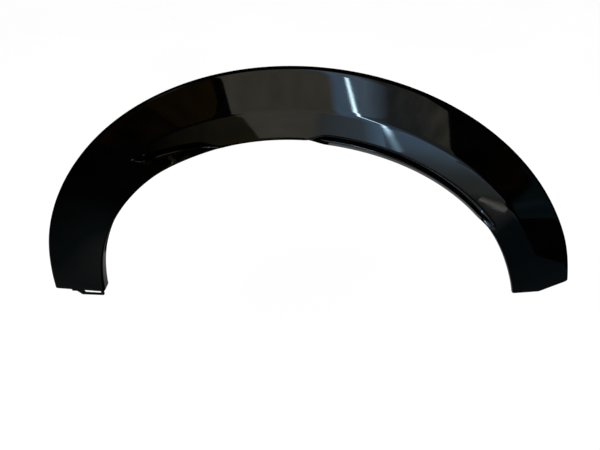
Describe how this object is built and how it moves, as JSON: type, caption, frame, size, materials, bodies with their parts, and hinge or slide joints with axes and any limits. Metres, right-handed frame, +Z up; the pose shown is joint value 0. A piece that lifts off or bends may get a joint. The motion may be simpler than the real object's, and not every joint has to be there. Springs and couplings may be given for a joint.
{
  "type": "wheel arch trim",
  "caption": "Gloss black moulded wheel arch trim: a creased annular band with a stepped inner lip, a return flange, a rolled outer rim and a slotted tab under the sill end.",
  "frame": {"origin": "on the wheel axis, in the plane where the outer rim seats on the body panel", "axes": "+X along the car towards the bumper end, +Y into the car, +Z up; the visible face looks to -Y"},
  "size_m": [0.9875, 0.0498, 0.5005],
  "materials": {
    "gloss_black": "high gloss black"
  },
  "bodies": {
    "root": {"wheel_arch_trim": "gloss_black"}
  },
  "joints": []
}
